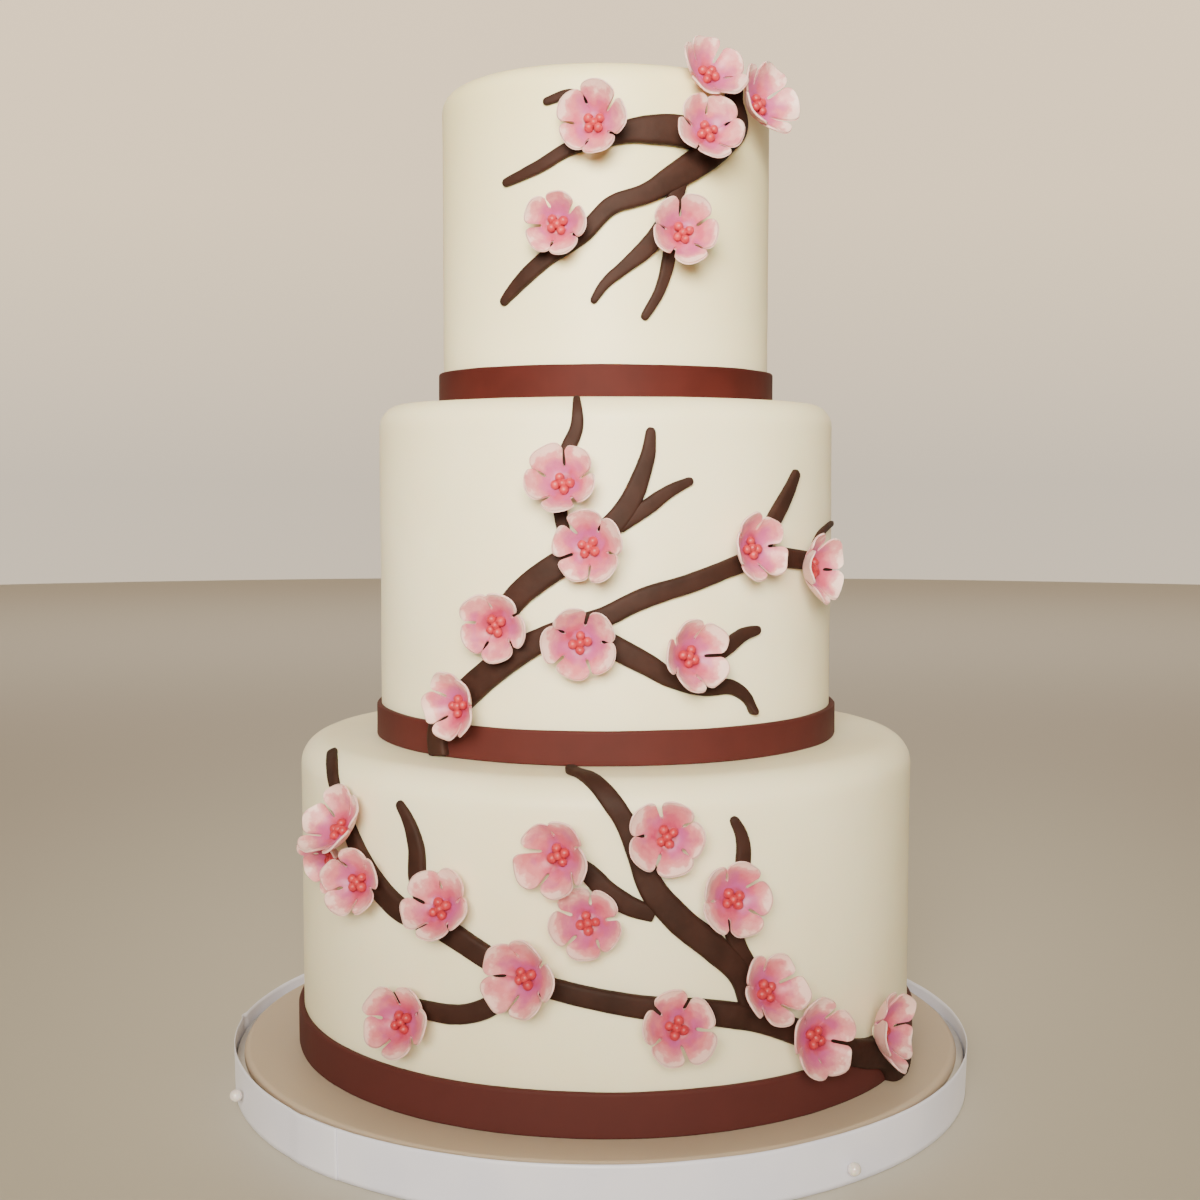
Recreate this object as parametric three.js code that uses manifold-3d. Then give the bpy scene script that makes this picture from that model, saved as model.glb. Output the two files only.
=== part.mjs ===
// A three-tier celebration cake in ivory fondant on a ribboned board, dressed
// with chocolate-brown fondant branches and pink cut blossoms.
// Millimetres, +Z up. The origin is the middle of the board's underside and the
// decorated front faces -Y.
import * as THREE from 'three';
import { mergeVertices } from 'three/addons/utils/BufferGeometryUtils.js';
import Module from 'manifold-3d';

const wasm = await Module();
wasm.setup();

// Driving dimensions: 4, 6 and 8 inch cakes with 3 mm of icing all round, on a
// 10 inch board.
const CLEARANCE = 0.3;
const SKIN_CLEARANCE = 0.4;
const SAG = 0.2;
const ROUND_SEGMENTS = 48;
const SHOULDER_STEPS = 3;
const ICING_EDGE_STEPS = 2;

const BOARD = { radius: 126, thickness: 12, icing: 3, icingRadius: 123.5, edgeRound: 2.4 };
const RIBBON = { thickness: 0.8, foot: 0.2, height: 16 };
const PIN_HEAD = { radius: 2, around: 7, down: 5 };
// Azimuth from the front, height of the head's middle.
const PINS = { left: [-66, 7.9], right: [35.2, 5.7], back: [158, 8] };
// The cake was set down a little to the right of the board's middle.
const CAKE_SHIFT = 1.9;
const BAND_THICKNESS = 1.5;
const BAND_RAMP = 3.5;

const TIERS = {
  bottom: { radius: 105, height: 105, shoulder: 9, band: 13.7 },
  middle: { radius: 77.5, height: 112, shoulder: 7.5, band: 10.7 },
  top: { radius: 55.5, height: 104.5, shoulder: 6.5, band: 10.7 },
};
TIERS.bottom.foot = BOARD.thickness + BOARD.icing;
TIERS.middle.foot = TIERS.bottom.foot + TIERS.bottom.height;
TIERS.top.foot = TIERS.middle.foot + TIERS.middle.height;

// Rolled and flattened fondant: the wider the branch, the thicker.
const BRANCH = {
  thinnest: 1,
  thickenPerWidth: 0.2,
  sideShare: 0.94,
  sideHeight: 0.6,
  crownShare: 0.62,
  cutDepth: 0.35,
};

// A blossom is a five-petal cut disc pressed into a cup with a flat heart.
const BLOSSOM = {
  petals: 5,
  cupShare: 0.29,
  cupPower: 1.1,
  footRadius: 2,
  footSides: 6,
  footStep: 0.2,
  heartThickness: 1.1,
  rimThickness: 0.7,
  notchReach: 0.62,
  heartShare: 0.36,
  sizeVariation: 0.05,
  curlVariation: 0.8,
};
// Along one petal's edge, from slit to slit: share of its turn, and reach.
const PETAL_OUTLINE = [[0.05, 0.9], [0.24, 0.99], [0.5, 1.02], [0.76, 0.99], [0.95, 0.9]];
const STAMEN = { radius: 1.15, ring: 2.35, aroundIt: 4, rise: 0.7, unevenness: 0.25 };
const HEART_HEIGHT = BLOSSOM.heartThickness + STAMEN.rise;
const SEATING_ROUNDS = 5;
// Where the draws of each kind start in a blossom's row of repeatable numbers.
const DRAW = { size: 0, curl: 10, notch: 20, stamen: 30 };
const SEEDS_PER_TIER = 20;

// Branch centre lines: [azimuth in degrees from the front, rise above the
// tier's foot measured along its skin, width]. A later branch butts against
// the earlier ones on its tier.
const BRANCHES = {
  top: {
    main: [
      [48, 100, 5], [46, 94, 8], [48.3, 88.5, 8.6], [41, 81.5, 9.3], [32, 75.2, 9.4], [23.5, 69.8, 8.4],
      [12.5, 63.3, 6.4], [2, 59.7, 5.8], [-8.2, 50.2, 5.4], [-19, 44, 5.4], [-28, 37.3, 4.8], [-36.3, 30.2, 2.8],
    ],
    upper: [
      [37, 81, 9.5], [25, 82.9, 9.9], [15, 83, 9.1], [6, 81.9, 7], [-3, 79.3, 5.2], [-12, 77, 4.5],
      [-22, 72, 4.2], [-35.5, 67.7, 2.6],
    ],
    upper_twig: [[-2, 80.3, 4.6], [-5, 88.5, 4.2], [-10, 93.2, 3.7], [-20.5, 91.6, 2.3]],
    lower: [
      [24, 68.5, 5.6], [21.3, 59.3, 5.6], [17, 51.5, 5.8], [11.8, 45.8, 5.6], [4.8, 40, 4.2], [0, 36, 3.4],
      [-4.6, 29.6, 2.2],
    ],
    lower_twig: [[21.2, 55, 4.4], [20.2, 43, 4.2], [17.4, 34, 3.6], [11.8, 24.6, 2.6]],
  },
  middle: {
    main: [
      [-41, 0.3, 7.5], [-41.5, 6, 7.5], [-39.5, 12, 8.2], [-34.6, 19.2, 9.2], [-28, 26.7, 9], [-20, 34.3, 8.4],
      [-11, 40.6, 6.9], [-1, 45.2, 6.4], [8, 51, 6.3], [18, 55, 5.9], [29, 59.8, 5.8], [38, 63, 6],
      [48, 62, 6.4], [58, 60.5, 5.6], [67, 58.7, 3.6], [75, 57, 2.4],
    ],
    upright: [
      [-27, 34, 6.4], [-25.5, 41.8, 6.9], [-20.7, 50.7, 7.9], [-13.3, 58.8, 8.3], [-5.5, 65.5, 7.9],
      [0.8, 72.5, 7.1], [4.9, 79.5, 6.6], [7.7, 88, 5.6], [9.3, 95.3, 4.4], [9.9, 102.5, 2.9],
    ],
    upright_twig: [[2.5, 73, 5.2], [8.7, 78.3, 5], [14.2, 83.4, 4], [19.6, 86.8, 2.6]],
    shoulder_twig: [
      [-7, 63, 4], [-9.6, 72, 4], [-10.3, 84, 4.7], [-8.7, 95, 4.9], [-6.5, 103, 3.8], [-7, 113, 2.4],
    ],
    lower: [
      [-5, 41.6, 6.2], [3, 35.4, 7.2], [9, 31, 6.8], [15, 26.1, 5.5], [22, 23.2, 4.9], [30, 22.7, 4.7],
      [34.7, 17.9, 3.3], [36, 13.8, 2.2],
    ],
    lower_twig: [[16, 25.8, 4.4], [22, 30.6, 4.8], [28, 35.2, 5.2], [33, 39.1, 4.1], [38, 40.3, 2.8]],
    side: [[37.5, 62, 5.6], [41.3, 73, 5.8], [45.2, 79.5, 5.4], [50.9, 89.7, 3.2]],
    side_twig: [[57, 61.5, 2.8], [62, 68, 2.5], [69, 71, 2.2], [77.5, 72.3, 2]],
  },
  bottom: {
    main: [
      [61.5, 0.3, 15.5], [59.4, 5, 13.5], [55.5, 10, 11], [49, 13, 9], [42, 17.5, 8], [34, 25, 7.9],
      [26, 31.7, 7.8], [17, 36, 7.8], [6, 38.9, 7], [-5, 42.8, 6.4], [-14.3, 47.3, 6.6], [-21.1, 53.7, 7.1],
      [-28.3, 59.9, 7.4], [-36.5, 63.2, 7.6], [-41.7, 69.4, 7.7], [-46.5, 78.6, 6.4], [-51, 89.6, 5.2],
      [-55, 99.4, 4.6], [-62, 106.6, 3.2],
    ],
    left_upper: [[-29, 60, 6], [-32.2, 73, 6.2], [-32.5, 83, 5.4], [-34.1, 90.2, 4], [-36.3, 95.6, 2.7]],
    left_lower: [[-14.5, 47, 5.6], [-18, 38.8, 6], [-23, 34.4, 5.9], [-30, 33.5, 5.8], [-39.2, 34.8, 3.8]],
    upright: [
      [24, 31, 5.4], [21.8, 46.2, 7], [17.3, 55.2, 8.5], [11.3, 64.7, 8.4], [6.9, 74.6, 7.8], [5, 84.2, 7],
      [2.5, 94.5, 6], [-0.5, 102, 5.6], [-3.6, 108.5, 4.9], [-6.3, 115.5, 3.2],
    ],
    upright_right: [[23.8, 46, 3], [22.6, 55, 4.8], [21.1, 68, 4.9], [22, 80, 4.7], [21.9, 88, 4], [20.9, 93.3, 2.7]],
    upright_left: [[7.5, 66, 4.5], [3.5, 69, 6], [0, 73.2, 6.2], [-2.5, 78, 5.6], [-5, 81.5, 4.6], [-7.7, 83.5, 3.2]],
  },
};

// Blossoms: [azimuth and rise of the heart, turn of the face away from the
// tier's own azimuth, its tilt upwards, angle of the first slit, width].
const BLOSSOMS = {
  top: [
    [-3.7, 84, -10, 4, 38, 22], [-14.6, 53.5, 4, -3, 40, 20], [22.9, 51.3, -14, 8, 27, 21.5],
    [30.5, 82.7, -15, 16, 20, 21.8], [34, 100.6, -10, 24, 60, 22], [52.5, 94.2, -8, 18, 30, 24],
  ],
  middle: [
    [-9.1, 85.8, 0, 20, 15, 21.5], [-3.7, 66.7, -8, 2, 59, 22], [-24, 42.7, 8, -6, 28, 22],
    [-32.8, 17.4, -6, 1, 5, 21], [-5.5, 38, 5, 0, 3, 22.5], [17.7, 33.6, 14, 7, 70, 22],
    [33, 66, 4, 6, 3, 22], [53, 58.6, 4, 2, 67, 22.8],
  ],
  bottom: [
    [-47.6, 85, 0, 38, 0, 22.7], [-52.6, 73.4, 8, -18, 20, 20], [-43, 70, 14, 10, 60, 21],
    [-26.6, 66.1, 4, 30, 23, 21.5], [-12.3, 48.5, -14, 8, 37, 22.5], [-33.7, 30.1, 12, 18, 30, 21.5],
    [-7.3, 84.4, -16, -2, 27, 22.5], [-2.9, 64.5, -4, 12, 12, 21], [9.2, 89.4, -10, 6, 33, 22],
    [19.5, 70.4, -3, 11, 36, 22], [25.3, 42.1, 8, 22, 18, 21.5], [34.4, 25.2, -5, 9, 55, 23.5],
    [51, 20, 8, 10, 0, 24.5], [10.5, 34, -4, 15, 67, 22],
  ],
};

const COLOURS = {
  fondant: '#dccfb7',
  band: '#7c3d33',
  branch: '#6b4537',
  petal: '#eab6bd',
  board: '#c9c8c4',
  ribbon: '#c8c5d2',
  pearl: '#efe8e2',
};

function material(colour, roughness) {
  return new THREE.MeshStandardMaterial({ color: colour, roughness, metalness: 0 });
}

const MATERIALS = {
  fondant: material(COLOURS.fondant, 0.75),
  band: material(COLOURS.band, 0.6),
  branch: material(COLOURS.branch, 0.6),
  petal: material(COLOURS.petal, 0.55),
  board: material(COLOURS.board, 0.5),
  ribbon: material(COLOURS.ribbon, 0.35),
  pearl: material(COLOURS.pearl, 0.2),
};

// A repeatable number from -1 to 1 for each pair of whole numbers.
function vary(seed, index) {
  const wave = Math.sin(seed * 12.9898 + index * 78.233) * 43758.5453;
  return 2 * (wave - Math.floor(wave)) - 1;
}

function mix(from, to, share) {
  return from + (to - from) * share;
}

// The place on a tier's skin at an azimuth and a rise, lifted off it. The rise
// runs up the wall, round the shoulder and in over the top.
function skinPoint(tier, azimuth, rise, lift = 0) {
  const angle = THREE.MathUtils.degToRad(azimuth);
  const wallTop = tier.height - tier.shoulder;
  const arc = THREE.MathUtils.clamp((rise - wallTop) / tier.shoulder, 0, Math.PI / 2);
  const inward = Math.max(0, rise - wallTop - (tier.shoulder * Math.PI) / 2);
  const reach = tier.radius - tier.shoulder + (tier.shoulder + lift) * Math.cos(arc) - inward;
  const level = Math.min(rise, wallTop) + (tier.shoulder + lift) * Math.sin(arc);
  return new THREE.Vector3(reach * Math.sin(angle), -reach * Math.cos(angle), tier.foot + level);
}

// The reverse: where on the skin a point lies, and how far off it.
function skinUnder(tier, point) {
  const azimuth = THREE.MathUtils.radToDeg(Math.atan2(point.x, -point.y));
  const reach = Math.hypot(point.x, point.y);
  const wallTop = tier.height - tier.shoulder;
  const above = point.z - tier.foot - wallTop;
  const beyond = reach - (tier.radius - tier.shoulder);
  if (above <= 0) {
    return { azimuth, rise: above + wallTop, distance: reach - tier.radius };
  }
  if (beyond <= 0) {
    const rise = wallTop + (tier.shoulder * Math.PI) / 2 - beyond;
    return { azimuth, rise, distance: above - tier.shoulder };
  }
  const rise = wallTop + tier.shoulder * Math.atan2(above, beyond);
  return { azimuth, rise, distance: Math.hypot(above, beyond) - tier.shoulder };
}

function geometryFrom(points, faces) {
  const geometry = new THREE.BufferGeometry();
  geometry.setAttribute(
    'position',
    new THREE.Float32BufferAttribute(points.flatMap((point) => point.toArray()), 3),
  );
  geometry.setIndex(faces.flat());
  return geometry;
}

function solidFrom(geometry) {
  geometry.deleteAttribute('normal');
  geometry.deleteAttribute('uv');
  const merged = mergeVertices(geometry);
  return new wasm.Manifold(
    new wasm.Mesh({
      numProp: 3,
      vertProperties: new Float32Array(merged.attributes.position.array),
      triVerts: new Uint32Array(merged.index.array),
    }),
  );
}

function geometryOf(solid) {
  const { vertProperties, triVerts } = solid.getMesh();
  const geometry = new THREE.BufferGeometry();
  geometry.setAttribute('position', new THREE.BufferAttribute(new Float32Array(vertProperties), 3));
  geometry.setIndex(new THREE.BufferAttribute(new Uint32Array(triVerts), 1));
  return geometry;
}

function largestPiece(solid) {
  return solid.decompose().reduce((best, piece) => (piece.volume() > best.volume() ? piece : best));
}

// Rings of equal length joined side by side, with a flat cap at each end.
function tubeGeometry(rings) {
  const sides = rings[0].length;
  const faces = [];
  for (let ring = 0; ring < rings.length - 1; ring++) {
    for (let side = 0; side < sides; side++) {
      const next = (side + 1) % sides;
      const [a, b] = [ring * sides + side, ring * sides + next];
      faces.push([a, b, b + sides], [a, b + sides, a + sides]);
    }
  }
  const last = (rings.length - 1) * sides;
  for (let side = 1; side < sides - 1; side++) {
    faces.push([0, side + 1, side], [last, last + side, last + side + 1]);
  }
  return geometryFrom(rings.flat(), faces);
}

function turned(profile) {
  const points = profile.map(([radius, height]) => new THREE.Vector2(radius, height));
  return new THREE.LatheGeometry(points, ROUND_SEGMENTS).rotateX(Math.PI / 2);
}

function quarterRound(radius, height, round, steps) {
  const points = [];
  for (let step = 0; step <= steps; step++) {
    const angle = (step / steps) * (Math.PI / 2);
    points.push([
      radius - round + round * Math.cos(angle),
      height - round + round * Math.sin(angle),
    ]);
  }
  return points;
}

function roundedDisc(radius, foot, top, round, steps) {
  return turned([[0, foot], [radius, foot], ...quarterRound(radius, top, round, steps), [0, top]]);
}

function hoop(inner, outer, foot, top) {
  return turned([[inner, foot], [outer, foot], [outer, top], [inner, top], [inner, foot]]);
}

function tierGeometry(tier) {
  return roundedDisc(tier.radius, tier.foot, tier.foot + tier.height, tier.shoulder, SHOULDER_STEPS);
}

function bandGeometry(tier) {
  const inner = tier.radius + CLEARANCE;
  return hoop(inner, inner + BAND_THICKNESS, tier.foot, tier.foot + tier.band);
}

// How far a branch's underside stands off the skin: it climbs over the band.
function branchLift(tier, rise) {
  const overBand = CLEARANCE + BAND_THICKNESS + CLEARANCE;
  const share = THREE.MathUtils.clamp((rise - tier.band - BAND_RAMP) / BAND_RAMP, 0, 1);
  return mix(overBand, SKIN_CLEARANCE, share);
}

function branchHeight(width) {
  return BRANCH.thinnest + BRANCH.thickenPerWidth * width;
}

// The longest straight step whose middle sags into a bend by no more than SAG.
function longestStep(bendRadius) {
  return Math.sqrt(8 * bendRadius * SAG);
}

// A path's own points, with more along a smooth curve where the skin bends.
function finePath(tier, path) {
  const degree = THREE.MathUtils.degToRad(1) * tier.radius;
  const curve = new THREE.CatmullRomCurve3(
    path.map(([azimuth, rise, width]) => new THREE.Vector3(azimuth * degree, rise, width)),
  );
  const wallTop = tier.height - tier.shoulder;
  const overTop = wallTop + (tier.shoulder * Math.PI) / 2;
  const points = [];
  const spans = path.length - 1;
  for (let span = 0; span < spans; span++) {
    const [from, to] = [path[span], path[span + 1]];
    const [lower, upper] = [Math.min(from[1], to[1]), Math.max(from[1], to[1])];
    const roundShoulder = Math.max(0, Math.min(upper, overTop) - Math.max(lower, wallTop));
    const along = Math.abs(to[0] - from[0]) * degree;
    const bends = [1, along / longestStep(tier.radius)];
    if (roundShoulder > 0) {
      bends.push((upper - lower) / longestStep(tier.shoulder));
    }
    const steps = Math.ceil(Math.max(...bends));
    for (let index = 0; index < steps; index++) {
      points.push(curve.getPoint((span + index / steps) / spans));
    }
  }
  points.push(curve.getPoint(1));
  return points.map((point) => [point.x / degree, point.y, point.z]);
}

function branchGeometry(tier, route, wider = 0, deeper = 0) {
  const degree = THREE.MathUtils.degToRad(1) * tier.radius;
  const path = finePath(tier, route);
  const rings = path.map(([azimuth, rise, width], index) => {
    const before = path[Math.max(index - 1, 0)];
    const after = path[Math.min(index + 1, path.length - 1)];
    const along = new THREE.Vector2((after[0] - before[0]) * degree, after[1] - before[1]).normalize();
    const half = width / 2 + wider;
    const height = branchHeight(width) + deeper;
    const section = [
      [half, -deeper], [-half, -deeper],
      [-half * BRANCH.sideShare, BRANCH.sideHeight * height], [-half * BRANCH.crownShare, height],
      [half * BRANCH.crownShare, height], [half * BRANCH.sideShare, BRANCH.sideHeight * height],
    ];
    return section.map(([across, level]) => {
      const pointRise = Math.max(rise - across * along.x, CLEARANCE);
      const pointAzimuth = azimuth + (across * along.y) / degree;
      return skinPoint(tier, pointAzimuth, pointRise, branchLift(tier, pointRise) + level);
    });
  });
  return tubeGeometry(rings);
}

// How far off the skin a blossom has to stay over a place, which may be bare or
// have a band or a branch on it.
function dressedHeight(tier, paths, azimuth, rise) {
  const degree = THREE.MathUtils.degToRad(1) * tier.radius;
  const spot = new THREE.Vector3(azimuth * degree, rise, 0);
  const bare = branchLift(tier, rise);
  let height = bare;
  for (const path of paths) {
    for (let index = 0; index < path.length - 1; index++) {
      const [from, to] = [path[index], path[index + 1]];
      const line = new THREE.Line3(
        new THREE.Vector3(from[0] * degree, from[1], 0),
        new THREE.Vector3(to[0] * degree, to[1], 0),
      );
      const share = line.closestPointToPointParameter(spot, true);
      const width = mix(from[2], to[2], share);
      if (line.at(share, new THREE.Vector3()).distanceTo(spot) < width / 2 + 2 * CLEARANCE) {
        height = Math.max(height, bare + branchHeight(width) + CLEARANCE);
      }
    }
  }
  return height;
}

// The spots that shape a cupped disc: a ring round its flat heart, and an outline
// whose every petal has its own length and curl, with a slit in between each pair.
function petalSpots(seed) {
  const { petals, notchReach, sizeVariation, curlVariation, heartShare } = BLOSSOM;
  const [hearts, rims] = [[], []];
  for (let petal = 0; petal < petals; petal++) {
    const size = 1 + sizeVariation * vary(seed, DRAW.size + petal);
    const curl = curlVariation * vary(seed, DRAW.curl + petal);
    const notch = notchReach + sizeVariation * vary(seed, DRAW.notch + petal);
    hearts.push({ turn: petal, out: heartShare, curl: 0 });
    rims.push({ turn: petal, out: notch, curl: 0 });
    for (const [share, reach] of PETAL_OUTLINE) {
      rims.push({ turn: petal + share, out: reach * size, curl });
    }
  }
  return [...hearts, ...rims];
}

function petalFaces() {
  const { petals } = BLOSSOM;
  const perPetal = PETAL_OUTLINE.length + 1;
  const half = Math.floor(perPetal / 2);
  const faces = [];
  for (let petal = 0; petal < petals; petal++) {
    const nextHeart = (petal + 1) % petals;
    const rim = (step) => petals + ((petal * perPetal + step) % (petals * perPetal));
    if (petal > 0 && nextHeart > 0) {
      faces.push([0, petal, nextHeart]);
    }
    faces.push([petal, rim(half), nextHeart]);
    for (let step = 0; step < perPetal; step++) {
      faces.push([step < half ? petal : nextHeart, rim(step), rim(step + 1)]);
    }
  }
  return faces;
}

function petalCup(width, seed) {
  const { petals, cupShare, cupPower, heartShare, heartThickness, rimThickness } = BLOSSOM;
  const radius = width / 2;
  const spots = petalSpots(seed);
  const place = ({ turn, out, curl }, thick) => {
    const angle = (turn / petals) * 2 * Math.PI;
    const flare = (out - heartShare) / (1 - heartShare);
    const bend = width * cupShare * flare ** cupPower + curl * flare ** 2;
    const raise = thick * mix(heartThickness, rimThickness, flare);
    const reach = radius * out;
    return new THREE.Vector3(reach * Math.cos(angle), reach * Math.sin(angle), bend + raise);
  };
  const points = [...spots.map((spot) => place(spot, 0)), ...spots.map((spot) => place(spot, 1))];
  const faces = [];
  for (const [a, b, c] of petalFaces()) {
    faces.push([a, c, b], [a + spots.length, b + spots.length, c + spots.length]);
  }
  const rimCount = spots.length - petals;
  for (let step = 0; step < rimCount; step++) {
    const [a, b] = [petals + step, petals + ((step + 1) % rimCount)];
    faces.push([a, b, b + spots.length], [a, b + spots.length, a + spots.length]);
  }
  return geometryFrom(points, faces);
}

// The foot is the dab of icing that reaches down to what the blossom sits on.
function blossomGeometry(cup, seed, footLength) {
  const { footRadius, footSides, heartThickness } = BLOSSOM;
  let solid = solidFrom(cup);
  if (footLength > 0) {
    const length = footLength + heartThickness / 2;
    const foot = new THREE.CylinderGeometry(footRadius, footRadius, length, footSides)
      .rotateX(Math.PI / 2)
      .rotateZ(Math.PI / 2)
      .translate(0, 0, heartThickness / 2 - length / 2);
    solid = solid.add(solidFrom(foot));
  }
  const spots = [[0, 0]];
  for (let ball = 0; ball < STAMEN.aroundIt; ball++) {
    const even = (ball / STAMEN.aroundIt) * 2 * Math.PI;
    const angle = even + STAMEN.unevenness * vary(seed, DRAW.stamen + ball);
    spots.push([STAMEN.ring * Math.cos(angle), STAMEN.ring * Math.sin(angle)]);
  }
  for (const [x, y] of spots) {
    const ball = new THREE.OctahedronGeometry(STAMEN.radius, 0)
      .translate(x, y, heartThickness + STAMEN.rise);
    solid = solid.add(solidFrom(ball));
  }
  return geometryOf(solid);
}

// Every corner, edge middle and triangle middle of a geometry.
function spotsOver(geometry) {
  const { index, attributes } = geometry;
  const spots = [];
  for (let first = 0; first < index.count; first += 3) {
    const corners = [0, 1, 2].map((step) => (
      new THREE.Vector3().fromBufferAttribute(attributes.position, index.getX(first + step))
    ));
    const [a, b, c] = corners;
    spots.push(...corners, a.clone().lerp(b, 0.5), b.clone().lerp(c, 0.5), c.clone().lerp(a, 0.5));
    spots.push(a.clone().add(b).add(c).divideScalar(3));
  }
  return spots;
}

// The smallest room left between a mesh's spots and what is under them.
function roomUnder(mesh, spots, tier, paths) {
  let room = Infinity;
  for (const spot of spots) {
    const under = skinUnder(tier, spot.clone().applyMatrix4(mesh.matrixWorld));
    room = Math.min(room, under.distance - dressedHeight(tier, paths, under.azimuth, under.rise));
  }
  return room;
}

// Lowers a blossom along the skin's normal until its back rests on what is
// there. Its own +Z is the way its face looks and +X runs to its right.
function seatBlossom(mesh, tier, paths, [azimuth, rise, turn, tilt, slit]) {
  const bearing = THREE.MathUtils.degToRad(azimuth + turn);
  const elevation = THREE.MathUtils.degToRad(tilt);
  const right = new THREE.Vector3(Math.cos(bearing), Math.sin(bearing), 0);
  const face = new THREE.Vector3(
    Math.sin(bearing) * Math.cos(elevation),
    -Math.cos(bearing) * Math.cos(elevation),
    Math.sin(elevation),
  );
  mesh.quaternion.setFromRotationMatrix(
    new THREE.Matrix4().makeBasis(right, face.clone().cross(right), face),
  );
  mesh.rotateZ(THREE.MathUtils.degToRad(slit));
  const spots = spotsOver(mesh.geometry);
  let lift = HEART_HEIGHT;
  for (let round = 0; round < SEATING_ROUNDS; round++) {
    mesh.position.copy(skinPoint(tier, azimuth, rise, lift)).addScaledVector(face, -HEART_HEIGHT);
    mesh.updateMatrixWorld();
    lift -= roomUnder(mesh, spots, tier, paths);
  }
}

// How far a blossom's foot can reach down before it meets what it stands on.
function footReach(mesh, tier, paths) {
  const { footRadius, footSides, footStep } = BLOSSOM;
  let length = 0;
  let room = Infinity;
  while (room > 0) {
    length += footStep;
    const rim = [];
    for (let side = 0; side < footSides; side++) {
      const angle = (side / footSides) * 2 * Math.PI;
      rim.push(new THREE.Vector3(footRadius * Math.cos(angle), footRadius * Math.sin(angle), -length));
    }
    room = roomUnder(mesh, rim, tier, paths);
  }
  return length - footStep;
}

const cake = new THREE.Group();

function addMesh(name, geometry, look) {
  const mesh = new THREE.Mesh(geometry, look);
  mesh.name = name;
  cake.add(mesh);
  return mesh;
}

function addBoard() {
  const { radius, thickness, icing, icingRadius, edgeRound } = BOARD;
  const top = thickness + icing;
  addMesh('cake_board', turned([[0, 0], [radius, 0], [radius, thickness], [0, thickness]]), MATERIALS.board);
  addMesh(
    'board_icing',
    roundedDisc(icingRadius, thickness, top, edgeRound, ICING_EDGE_STEPS),
    MATERIALS.fondant,
  );
  const inner = radius + CLEARANCE;
  const outer = inner + RIBBON.thickness;
  addMesh('board_ribbon', hoop(inner, outer, RIBBON.foot, RIBBON.foot + RIBBON.height), MATERIALS.ribbon);
  for (const [side, [azimuth, height]] of Object.entries(PINS)) {
    const angle = THREE.MathUtils.degToRad(azimuth);
    const reach = outer + CLEARANCE + PIN_HEAD.radius;
    const bead = new THREE.SphereGeometry(PIN_HEAD.radius, PIN_HEAD.around, PIN_HEAD.down);
    const head = addMesh(`pearl_pin_${side}`, bead, MATERIALS.pearl);
    head.position.set(reach * Math.sin(angle), -reach * Math.cos(angle), height);
  }
}

function addBranches(tierName, tier) {
  const earlier = [];
  for (const [part, path] of Object.entries(BRANCHES[tierName])) {
    let solid = solidFrom(branchGeometry(tier, path));
    for (const cutter of earlier) {
      solid = solid.subtract(cutter);
    }
    earlier.push(solidFrom(branchGeometry(tier, path, CLEARANCE, BRANCH.cutDepth)));
    addMesh(`branch_${tierName}_${part}`, geometryOf(largestPiece(solid)), MATERIALS.branch);
  }
}

function addBlossoms(tierName, tier) {
  const paths = Object.values(BRANCHES[tierName]);
  BLOSSOMS[tierName].forEach((blossom, index) => {
    const seed = Object.keys(BLOSSOMS).indexOf(tierName) * SEEDS_PER_TIER + index + 1;
    const cup = petalCup(blossom[5], seed);
    const mesh = addMesh(`blossom_${tierName}_${index + 1}`, cup, MATERIALS.petal);
    seatBlossom(mesh, tier, paths, blossom);
    mesh.geometry = blossomGeometry(cup, seed, footReach(mesh, tier, paths));
  });
}

for (const [tierName, tier] of Object.entries(TIERS)) {
  addMesh(`tier_${tierName}`, tierGeometry(tier), MATERIALS.fondant);
  addMesh(`band_${tierName}`, bandGeometry(tier), MATERIALS.band);
  addBranches(tierName, tier);
  addBlossoms(tierName, tier);
}
for (const mesh of cake.children) {
  mesh.position.x += CAKE_SHIFT;
}
addBoard();

export default cake;
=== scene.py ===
"""A three-tier celebration cake in ivory fondant on a ribboned board.

Brown fondant branches and pink blossoms dress its front. Sizes are in
millimetres until a mesh is made, and the decorated front faces -Y.
"""
import math

import bmesh
import bpy
import numpy as np
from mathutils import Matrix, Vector, noise


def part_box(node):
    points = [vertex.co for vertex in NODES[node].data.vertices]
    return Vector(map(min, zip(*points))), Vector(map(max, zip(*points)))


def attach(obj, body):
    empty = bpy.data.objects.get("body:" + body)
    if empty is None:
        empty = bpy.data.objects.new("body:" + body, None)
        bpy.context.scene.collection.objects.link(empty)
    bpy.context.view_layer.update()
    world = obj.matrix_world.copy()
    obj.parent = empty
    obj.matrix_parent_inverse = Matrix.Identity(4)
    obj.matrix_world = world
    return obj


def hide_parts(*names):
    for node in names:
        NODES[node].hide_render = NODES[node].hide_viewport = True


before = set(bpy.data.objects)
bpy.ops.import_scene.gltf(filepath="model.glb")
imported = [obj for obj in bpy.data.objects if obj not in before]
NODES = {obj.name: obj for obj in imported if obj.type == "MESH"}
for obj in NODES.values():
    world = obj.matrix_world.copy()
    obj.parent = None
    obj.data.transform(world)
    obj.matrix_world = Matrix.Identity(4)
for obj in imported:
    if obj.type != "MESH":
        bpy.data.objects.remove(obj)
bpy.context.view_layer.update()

MM = 0.001
BOARD_RADIUS = 126.0
BOARD_THICKNESS = 12.0
BOARD_TOP = 15.0
BOARD_ICING_RADIUS = 123.5
# The cake stands a little to the right of the board's middle.
CAKE_SHIFT = 1.9
# How far the bands stand out, and how long a branch takes to climb over one.
BAND_OUT = 1.8
BAND_RAMP = 3.5
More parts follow.
